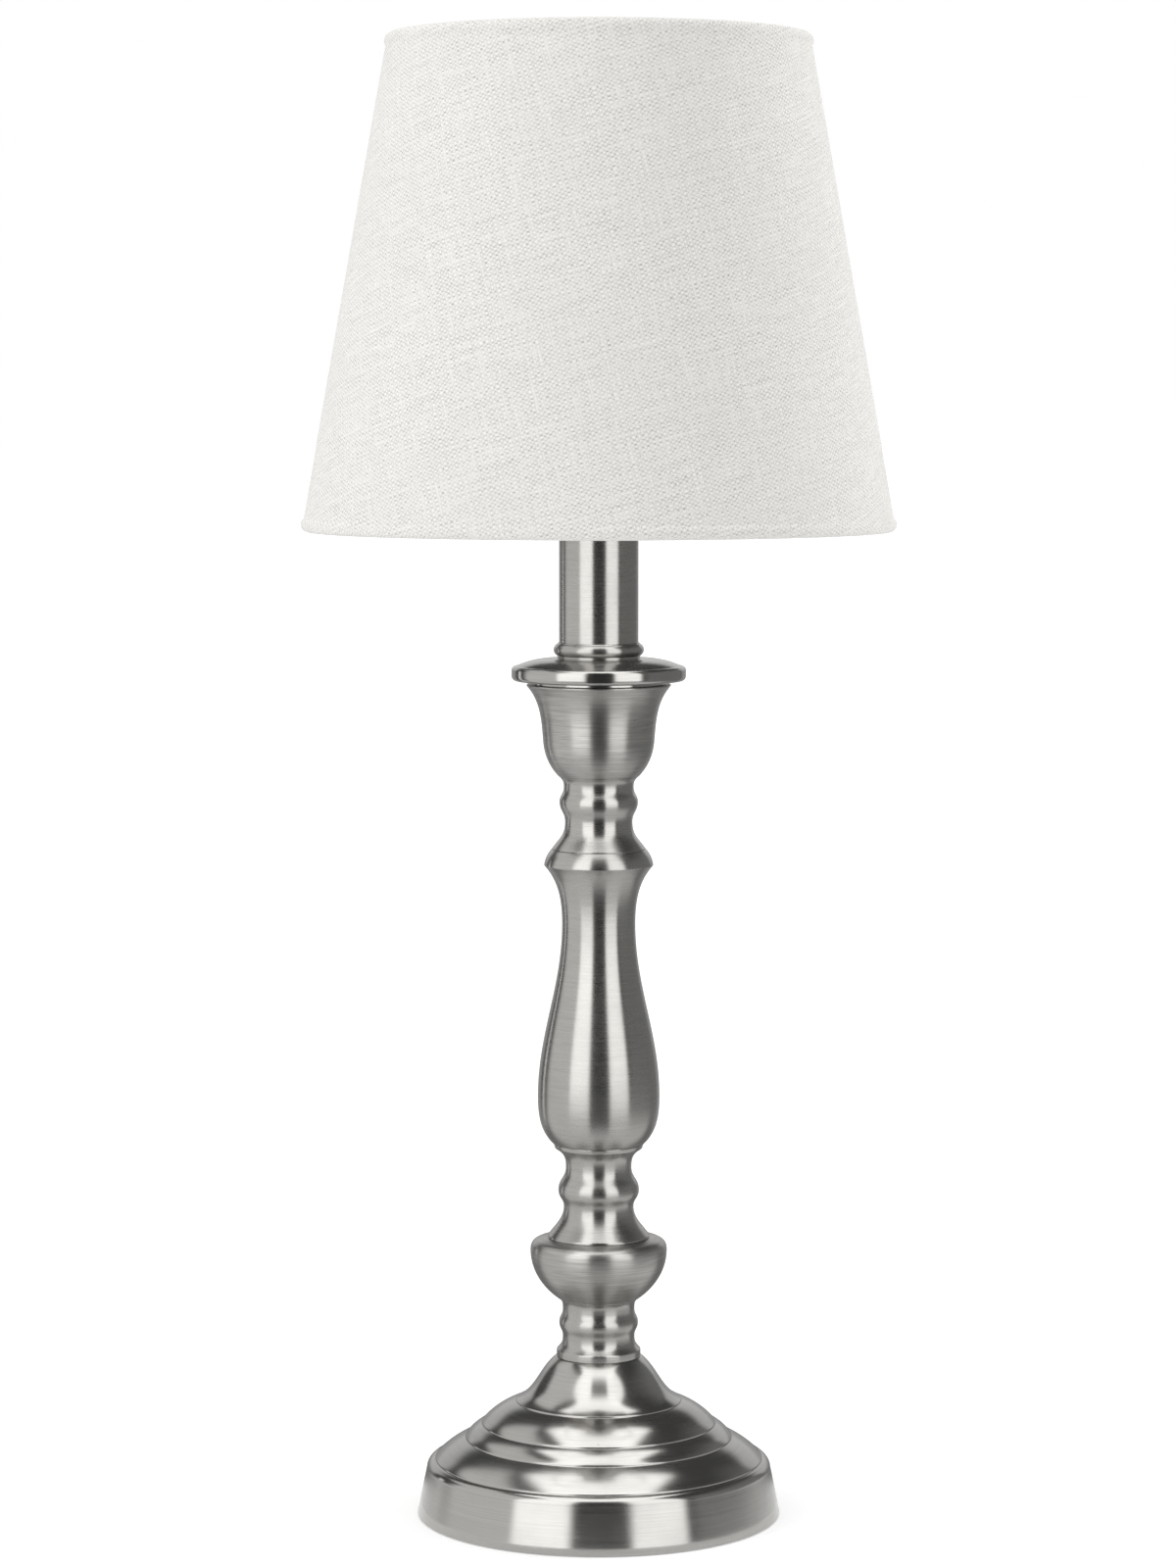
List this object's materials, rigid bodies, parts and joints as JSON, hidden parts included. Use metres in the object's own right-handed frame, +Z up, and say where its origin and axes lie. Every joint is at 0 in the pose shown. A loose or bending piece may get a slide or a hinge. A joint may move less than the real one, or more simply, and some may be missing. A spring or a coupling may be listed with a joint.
{
  "type": "table lamp",
  "caption": "Candlestick table lamp: turned brushed-metal stem with drip pan and candle sleeve on a stepped round weighted base, tapered linen drum shade on a screw-base lampholder.",
  "frame": {"origin": "centre of the felt's underside, on the surface the lamp stands on", "axes": "+Z up along the stem's axis; +Y to the rear, where the cable leaves the base; +X to the right seen from the front"},
  "size_m": [0.199, 0.199, 0.4974],
  "materials": {
    "spun_base": "satin-brushed nickel plate on spun steel",
    "turned_stem": "satin-brushed nickel plate on turned metal, fine turning lines",
    "candle_tube": "satin-brushed nickel plate on tube and rings",
    "linen": "plain-woven slubbed linen",
    "shade_lining": "matt white styrene lining",
    "shade_frame": "white powder coat",
    "felt": "dark wool felt",
    "fibre_board": "hard fibre board",
    "ballast": "rough cast",
    "hardware": "zinc plate",
    "cable_bush": "moulded black",
    "holder_plastic": "moulded white thermoset",
    "contacts": "bare brass",
    "opal_glass": "opal white",
    "bulb_metal": "bright nickel-plated cap",
    "bulb_bead": "black vitrite"
  },
  "bodies": {
    "lamp_body": {"felt_pad": "felt", "bottom_disc": "fibre_board", "base_weight": "ballast", "base_shell": "spun_base", "cable_bush": "cable_bush", "base_washer": "hardware", "base_nut": "hardware", "threaded_rod": "hardware", "foot_collar": "turned_stem", "knop_bowl": "turned_stem", "lower_neck": "turned_stem", "baluster": "turned_stem", "upper_neck": "turned_stem", "candle_cup": "turned_stem", "drip_pan": "candle_tube", "stem_washer": "hardware", "stem_nut": "hardware", "sleeve_collar": "candle_tube", "candle_sleeve": "candle_tube", "holder_nut": "hardware", "holder_cap": "holder_plastic", "holder_core": "holder_plastic", "terminal_screws": "contacts", "screw_shell": "contacts", "centre_contact": "contacts", "holder_skirt": "holder_plastic"},
    "clamp_ring": {"clamp_ring": "holder_plastic"},
    "shade": {"shade_cover": "linen", "shade_lining": "shade_lining", "top_wire": "shade_frame", "bottom_wire": "shade_frame", "fitter_ring": "shade_frame", "spider_arms": "shade_frame"},
    "bulb_foot": {"bulb_insulator": "bulb_bead", "bulb_tip": "bulb_metal"},
    "bulb": {"bulb_cap": "bulb_metal", "bulb_glass": "opal_glass"}
  },
  "joints": [
    {"name": "shade_turn", "type": "hinge", "parent": "lamp_body", "child": "shade", "pos_m": [0, 0, 0.3528], "axis": [0, 0, 1], "continuous": true},
    {"name": "clamp_ring_turn", "type": "hinge", "parent": "lamp_body", "child": "clamp_ring", "pos_m": [0, 0, 0.3548], "axis": [0, 0, 1], "range_deg": [0, 360]},
    {"name": "bulb_lift", "type": "slide", "parent": "lamp_body", "child": "bulb_foot", "axis": [0, 0, 1], "range_m": [0, 0.0127]},
    {"name": "bulb_turn", "type": "hinge", "parent": "bulb_foot", "child": "bulb", "pos_m": [0, 0, 0.3588], "axis": [0, 0, 1], "range_deg": [0, 1620]}
  ],
  "couplings": [
    {"joint": "bulb_lift", "follows": "bulb_turn", "m_per_rad": 0.00044882}
  ]
}
